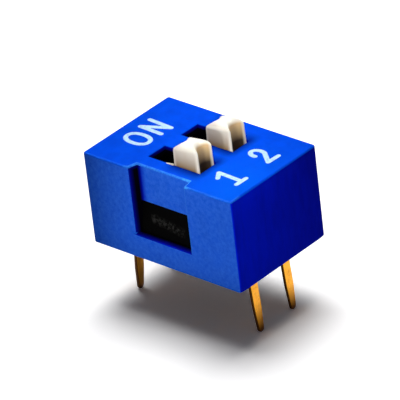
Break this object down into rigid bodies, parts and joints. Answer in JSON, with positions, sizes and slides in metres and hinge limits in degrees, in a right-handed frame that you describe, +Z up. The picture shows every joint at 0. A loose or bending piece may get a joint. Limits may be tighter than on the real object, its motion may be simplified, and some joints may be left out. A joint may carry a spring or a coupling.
{
  "type": "slide dip switch",
  "caption": "Dual in-line slide switch with two raised knobs in slots, a recess in one end, a latch window in each end and four flat solder pins.",
  "frame": {"origin": "centre of the seating plane, where the rim of the cover sits on the circuit board", "axes": "+X along the row of switches from switch 1 to switch 2, +Y from the numbered side towards ON, +Z up out of the board"},
  "size_m": [0.0066, 0.0098, 0.0102],
  "materials": {
    "cover": "satin",
    "base": "matte",
    "slider": "satin",
    "contact": "polished",
    "terminal": "satin"
  },
  "bodies": {
    "housing": {"cover": "cover", "base": "base", "terminal_1": "terminal", "terminal_2": "terminal", "terminal_3": "terminal", "terminal_4": "terminal"},
    "switch_1": {"slider_1": "slider", "contact_1": "contact"},
    "switch_2": {"slider_2": "slider", "contact_2": "contact"}
  },
  "joints": [
    {"name": "switch_1_slide", "type": "slide", "parent": "housing", "child": "switch_1", "axis": [0, 1, 0], "range_m": [0, 0.00158]},
    {"name": "switch_2_slide", "type": "slide", "parent": "housing", "child": "switch_2", "axis": [0, 1, 0], "range_m": [0, 0.00158]}
  ]
}
